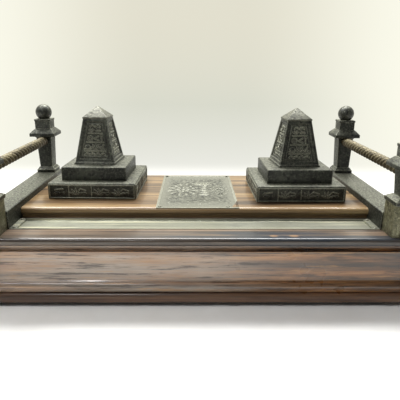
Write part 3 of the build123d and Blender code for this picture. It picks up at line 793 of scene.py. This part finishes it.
def addStepPanel():
    # one side's border, divider and running ornament; local x along the side, z up from the step's foot
    width, high, border = stepRelief["width"] - 1.6 * mm, stepRelief["high"] - 1.0 * mm, stepRelief["border"]
    d = stepRelief["proud"]
    middle = high / 2 + 0.2 * mm
    split = stepRelief["divider"] * stepRelief["width"]
    endX = width / 2 - border / 2
    parts = [markBar(0, border / 2 + 0.4 * mm, width, border, d)]
    parts += [markBar(0, high - border / 2 - 0.3 * mm, width, border, d)]
    parts += [markBar(x, middle, border, high - 2 * border, d) for x in (-endX, endX)]
    parts += [markBar(split, middle, border * 0.9, high - 2 * border, d)]
    parts += [markBar(split + 38 * mm * 0.52, middle, border * 0.7, high - 4 * border, d)]
    small = -width / 2 + 8.6 * mm
    parts += [markBar(small, middle + 1.6 * mm, 8.0 * mm, 1.4 * mm, d, -0.12)]
    parts += [markDome(small - 1.5 * mm, middle - 1.4 * mm, 5.6 * mm, 2.6 * mm, d)]
    parts += [markDome(small + 4.2 * mm, middle - 1.2 * mm, 2.0 * mm, 2.0 * mm, d)]
    for x in (split + 10 * mm, split + 30 * mm, split + 47 * mm):
        parts += markFan(x - 4.0 * mm, middle - 3.0 * mm, 6.4 * mm, 1.7 * mm, d, 5, 2.4)
        parts += [markBar(x + 2.4 * mm, middle + 1.7 * mm, 6.0 * mm, 1.2 * mm, d, 0.3)]
        parts += [markDome(x + 3.6 * mm, middle - 1.5 * mm, 3.6 * mm, 2.6 * mm, d)]
    return joinAll(parts)


def addStepRelief():
    panel = addStepPanel()
    for side in ("left", "right"):
        low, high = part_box("well_base_" + side)
        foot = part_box("deck_board")[1].z
        centreX = (low.x + high.x) / 2
        centreY = (low.y + high.y) / 2
        sides = []
        for quarter in range(4):
            part = copyPiece(panel, "side")
            turn = math.radians(stepRelief["turns"][side]) + quarter * math.pi / 2
            part.matrix_world = (Matrix.Translation((centreX, centreY, foot)) @ Matrix.Rotation(turn, 4, "Z")
                                 @ Matrix.Translation((0, -stepRelief["width"] / 2, 0)))
            applyPlace(part)
            sides.append(part)
        relief = joinAll(sides)
        finishPiece(relief, "step_relief_" + side, "stand", darkBronze, 35)
    bpy.data.objects.remove(panel)


addStepRelief()
print("step relief cast")


# plaque with a plain rim round a sunk, stippled ground, a rosette, a lotus column and a beaded scroll

plaqueShape = {
    "rim": 2.2 * mm, "sunk": 0.3 * mm, "proud": 0.5 * mm, "ease": 0.12 * mm,
    "rosette": (-13.0 * mm, 2.0 * mm), "rings": ((1, 12, 12.0 * mm, 8.0 * mm), (2, 8, 5.0 * mm, 5.5 * mm)),
    "column": 6.5 * mm, "columnPetals": 7, "columnBands": 5,
    "scroll": (20.0 * mm, -2.0 * mm), "scrollBeads": 26,
    "dots": 150, "dotReach": (29, 49), "dotSize": (1.5 * mm, 2.0 * mm, 0.5 * mm),
}


def addPlaque():
    low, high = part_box("centre_plaque")
    centre = (low + high) / 2
    size = high - low
    plate = addBox(tuple(size), tuple(centre))
    editWith(plate, lambda face: face.normal.z > 0.9)
    bpy.ops.mesh.inset(thickness=plaqueShape["rim"], depth=0)
    bpy.ops.mesh.inset(thickness=plaqueShape["sunk"], depth=-plaqueShape["sunk"])
    leaveEdit()
    bevelEdges(plate, plaqueShape["ease"], 2, 20)
    ground = high.z - plaqueShape["sunk"]
    parts = []
    d = plaqueShape["proud"]

    def petal(x, y, length, width, turn):
        return addDome((width, length, d * 2), (centre.x + x, centre.y + y, ground), (0, 0, turn), 10, 6)

    # rosette on the left
    midX, midY = plaqueShape["rosette"]
    for ring, count, reach, length in plaqueShape["rings"]:
        for i in range(count):
            angle = fullTurn * (i + 0.5 * ring) / count
            parts.append(petal(midX + math.sin(angle) * reach, midY + math.cos(angle) * reach * 1.5,
                               length, 3.0 * mm, -angle))
    parts.append(petal(midX, midY, 4.5 * mm, 4.5 * mm, 0))
    # lotus column in the middle right
    column = plaqueShape["column"]
    for i in range(plaqueShape["columnPetals"]):
        spread = (i - 3) * 0.32
        parts.append(petal(column + math.sin(spread) * 8.0 * mm, 14.0 * mm + math.cos(spread) * 9.0 * mm,
                           15.0 * mm, 2.4 * mm, -spread))
    for i in range(plaqueShape["columnBands"]):
        parts.append(petal(column, 12.0 * mm - i * 7.0 * mm, 5.6 * mm, 5.0 * mm + i * 1.4 * mm, 0))
    # beaded scroll to the right
    scrollX, scrollY = plaqueShape["scroll"]
    for i in range(plaqueShape["scrollBeads"]):
        angle = i * 0.42
        reach = 11.0 * mm - i * 0.36 * mm
        parts.append(petal(scrollX + math.cos(angle) * reach * 0.8, scrollY + math.sin(angle) * reach * 1.5,
                           2.6 * mm, 1.9 * mm, angle))
    # stippled ground
    dotX, dotY = plaqueShape["dotReach"]
    for i in range(plaqueShape["dots"]):
        x = random.uniform(-dotX, dotX) * mm
        y = random.uniform(-dotY, dotY) * mm
        place = (centre.x + x, centre.y + y, ground)
        parts.append(addDome(plaqueShape["dotSize"], place, (0, 0, 0), 6, 4))
    ornament = joinAll([plate] + parts)
    finishPiece(ornament, "engraved_plaque", "stand", plaqueBronze, 40)
    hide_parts("centre_plaque")


addPlaque()
print("plaque made")


# corner leaves: a palmette of lobes that lies on the ledge and hooks over the front edge

leafShape = {
    "lobes": 7, "spread": 2.3, "shorten": 0.36, "lobeWide": 3.4 * mm, "thick": 2.6 * mm, "lobeLift": 0.9 * mm,
    "boss": (7.0 * mm, 6.0 * mm, 3.0 * mm), "bossInset": 1.0 * mm, "bossLift": 0.8 * mm,
    "tip": (3.0 * mm, 2.2 * mm, 5.6 * mm), "tipInset": 1.15 * mm, "tipDrop": 1.2 * mm,
}


def addCornerLeaf(side):
    name = "corner_leaf_" + side
    low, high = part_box(name)
    x = (low.x + high.x) / 2
    root = Vector((x, high.y, low.z))
    reach = high.y - low.y
    parts = []
    for i in range(leafShape["lobes"]):
        lean = leafShape["spread"] * (i / (leafShape["lobes"] - 1) - 0.5)
        length = reach * (1.0 - leafShape["shorten"] * abs(lean))
        along, across = math.cos(lean) * length / 2, math.sin(lean) * length / 2
        middle = root + Vector((across, -along, leafShape["lobeLift"]))
        lobe = (leafShape["lobeWide"], length, leafShape["thick"])
        parts.append(addDome(lobe, tuple(middle), (0, 0, lean), 12, 8))
    bossPlace = (x, high.y - leafShape["bossInset"], low.z + leafShape["bossLift"])
    parts.append(addDome(leafShape["boss"], bossPlace, (0, 0, 0), 14, 8))
    # tip turned down over the moulding
    tipPlace = (x, low.y + leafShape["tipInset"], low.z - leafShape["tipDrop"])
    parts.append(addDome(leafShape["tip"], tipPlace, (0, 0, 0), 12, 8))
    leaf = joinAll(parts)
    finishPiece(leaf, "palmette_" + side, "stand", litLeafBronze, 60)
    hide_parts(name)


for side in ("left", "right"):
    addCornerLeaf(side)
print("corner leaves made")


# carving on the front pedestal

pedestalCarving = {
    "reeds": 5, "reedGap": 2.6 * mm, "reedWide": 1.5 * mm, "proud": 0.5 * mm, "sunk": 0.25 * mm,
}


def addPedestalCarving(side):
    low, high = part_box("front_pedestal_" + side)
    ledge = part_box("top_board")[1].z
    x = (low.x + high.x) / 2
    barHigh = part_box("gallery_bar_" + side)[1].z - ledge
    reeds, d = pedestalCarving["reeds"], pedestalCarving["proud"]
    parts = []
    for i in range(reeds):
        reedX = (i - (reeds - 1) / 2) * pedestalCarving["reedGap"]
        parts.append(markBar(reedX, barHigh * 0.45, pedestalCarving["reedWide"], barHigh * 0.6, d))
    parts += markFan(0, barHigh + 1.6 * mm, 6.0 * mm, 1.8 * mm, d, 7, 2.6)
    parts += [markBar(0, barHigh + 1.0 * mm, 13.0 * mm, 1.0 * mm, d)]
    carving = joinAll(parts)
    carving.location = (x, low.y + pedestalCarving["sunk"], ledge)
    applyPlace(carving)
    finishPiece(carving, "pedestal_carving_" + side, "stand", litLeafBronze, 40)


for side in ("left", "right"):
    addPedestalCarving(side)
print("pedestals carved")


# ink standing in the pots

inkShape = {"radius": 15.0 * mm, "deep": 6.0 * mm, "lift": 6.6 * mm, "rim": 0.8 * mm, "dip": 0.5 * mm}


def addInk(side):
    low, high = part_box("ink_pot_" + side)
    centre = (low + high) / 2
    clearSelection()
    bpy.ops.mesh.primitive_cylinder_add(vertices=48, radius=inkShape["radius"], depth=inkShape["deep"],
                                        location=(centre.x, centre.y, low.z + inkShape["lift"]))
    ink = bpy.context.object
    applyPlace(ink)
    editWith(ink, lambda face: face.normal.z > 0.9)
    bpy.ops.mesh.inset(thickness=inkShape["rim"], depth=-inkShape["dip"])
    leaveEdit()
    bevelEdges(ink, 0.3 * mm, 2, 30)
    finishPiece(ink, "ink_" + side, "stand", driedInk, 40)


for side in ("left", "right"):
    addInk(side)


# floor, sweep, lights and camera

studio = {
    "world": (0.78, 0.79, 0.8, 1.0), "worldStrength": 0.17,
    "paper": ("#f3f2ee", "#f8f7f4"), "paperBehind": "#080808",
    "glowMiddle": [(0.03, "#e8e8e0"), (0.6, "#d7d8ca"), (0.98, "#e1decd")], "glowSides": "#faf9ea",
    "glowFrom": 0.1, "bendAt": 0.45, "bendR": 0.25, "bendSteps": 20, "wallHigh": 1.5,
    "floorFront": 3.0, "sheetWide": 6.0,
}

# name, power, size, place, what it points at
studioLights = [
    ("keyLight", 28.0, (1.2, 0.4), (-0.08, 0.45, 1.0), (0, 0, 0)),
    ("strip", 2.0, (0.6, 0.035), (-0.3, -0.3, 0.6), (-0.08, -0.1, 0.02)),
    ("leftLight", 1.6, (0.8, 0.8), (-1.1, -0.1, 0.55), (0, 0, 0.05)),
    ("rightLight", 1.2, (0.8, 0.8), (1.1, 0.1, 0.6), (0, 0, 0.05)),
]


def addSweep():
    # one sheet of paper that curves up behind the stand; its back part is a dark sheet that glows with a
    # painted gradient of light, darker in the middle
    n = Nodes("paperSweep")
    grain = n.noise(40.0, 3.0)
    back = n.span(n.axis("Y"), studio["glowFrom"], studio["bendAt"], 0.0, 1.0)
    paper = n.ramp(grain, [(0.3, studio["paper"][0]), (0.7, studio["paper"][1])])
    n.put(n.mix(back, paper, hexColour(studio["paperBehind"])), n.shader.inputs["Base Color"])
    # painted light: the glow colour runs from the middle out to paler sides
    along = n.maths("ADD", n.axis("Y"), n.maths("MULTIPLY", n.axis("Z"), 1.2))
    middle = n.ramp(n.span(along, 0.3, 1.1), studio["glowMiddle"])
    across = n.span(n.maths("ABSOLUTE", n.axis("X")), 0.1, 0.52)
    glow = n.mix(across, middle, hexColour(studio["glowSides"]))
    n.put(glow, n.shader.inputs["Emission Color"])
    n.put(back, n.shader.inputs["Emission Strength"])
    n.shader.inputs["Roughness"].default_value = 0.9
    n.shader.inputs["Specular IOR Level"].default_value = 0.1
    n.put(n.bump(grain, 0.2 * mm, 0.2), n.shader.inputs["Normal"])
    clearSelection()
    floorMiddle = (studio["bendAt"] - studio["floorFront"]) / 2
    bpy.ops.mesh.primitive_plane_add(size=1, location=(0, floorMiddle, 0))
    sheet = bpy.context.object
    sheet.scale = (studio["sheetWide"], studio["bendAt"] + studio["floorFront"], 1.0)
    applyPlace(sheet)
    bend, steps = studio["bendR"], studio["bendSteps"]
    # only the back edge is drawn out, step by step
    editWith(sheet, lambda face: False)
    bpy.ops.mesh.select_mode(type="EDGE")
    leaveEdit()
    for edge in sheet.data.edges:
        edge.select = all(sheet.data.vertices[v].co.y > 0 for v in edge.vertices)
    bpy.ops.object.mode_set(mode="EDIT")
    turn = math.pi / 2 / steps
    chord = 2 * bend * math.sin(turn / 2)
    for i in range(steps):
        lean = (i + 0.5) * turn
        move = (0, chord * math.cos(lean), chord * math.sin(lean))
        bpy.ops.mesh.extrude_region_move(TRANSFORM_OT_translate={"value": move})
    bpy.ops.mesh.extrude_region_move(TRANSFORM_OT_translate={"value": (0, 0, studio["wallHigh"])})
    leaveEdit()
    smoothByAngle(sheet, 40)
    sheet.data.materials.append(n.material)
    sheet.name = "floor"


def addArea(name, power, size, place, target):
    clearSelection()
    bpy.ops.object.light_add(type="AREA", location=place)
    light = bpy.context.object
    light.name = name
    light.data.energy = power
    light.data.shape = "RECTANGLE"
    light.data.size, light.data.size_y = size
    light.rotation_euler = (Vector(target) - Vector(place)).to_track_quat("-Z", "Y").to_euler()


def addWorld():
    world = bpy.data.worlds.new("studio")
    bpy.context.scene.world = world
    world.use_nodes = True
    background = world.node_tree.nodes["Background"]
    background.inputs["Color"].default_value = studio["world"]
    background.inputs["Strength"].default_value = studio["worldStrength"]


addSweep()
addWorld()
for light in studioLights:
    addArea(*light)

view = {"lens": 40.70, "place": (-1.62 * mm, -401.04 * mm, 178.4 * mm),
        "down": 16.64, "right": 0.83, "roll": -0.39}


def addCamera():
    clearSelection()
    bpy.ops.object.camera_add(location=view["place"])
    camera = bpy.context.object
    camera.name = "camera"
    camera.data.lens = view["lens"]
    camera.data.sensor_width = 36.0
    turn = (Matrix.Rotation(-math.radians(view["right"]), 4, "Z")
            @ Matrix.Rotation(math.radians(90 - view["down"]), 4, "X")
            @ Matrix.Rotation(-math.radians(view["roll"]), 4, "Z"))
    camera.rotation_euler = turn.to_euler()
    camera.data.clip_start = 0.01
    bpy.context.scene.camera = camera


addCamera()
bpy.context.scene.view_settings.view_transform = "Standard"
clearSelection()
print("studio ready")
